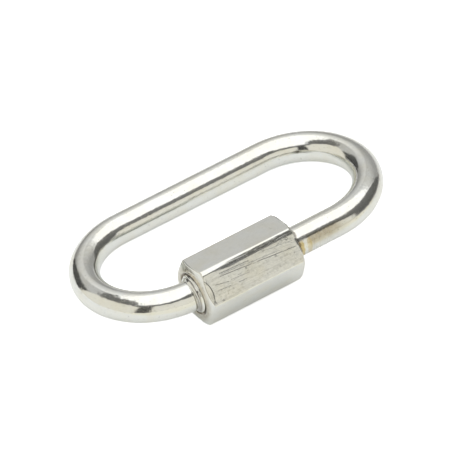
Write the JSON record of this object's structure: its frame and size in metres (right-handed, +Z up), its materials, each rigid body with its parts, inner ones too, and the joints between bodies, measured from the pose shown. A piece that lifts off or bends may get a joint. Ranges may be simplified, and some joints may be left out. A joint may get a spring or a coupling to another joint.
{
  "type": "chain quick link",
  "caption": "Long oval link bent from bright round rod, with a gap in a straight side that a threaded hexagonal sleeve nut closes, for joining chain and rigging.",
  "frame": {"origin": "middle of the box that the resting link fills, on the surface it lies on", "axes": "+X along the link towards the end that the nut screws back to, -Y towards the nut's side, +Z up from the surface it lies on"},
  "size_m": [0.038, 0.0214, 0.0073],
  "materials": {
    "rod_plating": "mirror-bright plated steel rod, lightly stained beside the nut",
    "nut_plating": "bright plated steel with drawn scratches along the flats"
  },
  "bodies": {
    "link": {"bent_rod": "rod_plating"},
    "nut": {"sleeve_nut": "nut_plating"}
  },
  "joints": [
    {"name": "nut_travel", "type": "slide", "parent": "link", "child": "nut", "axis": [1, 0, 0], "range_m": [0, 0.0049]}
  ]
}
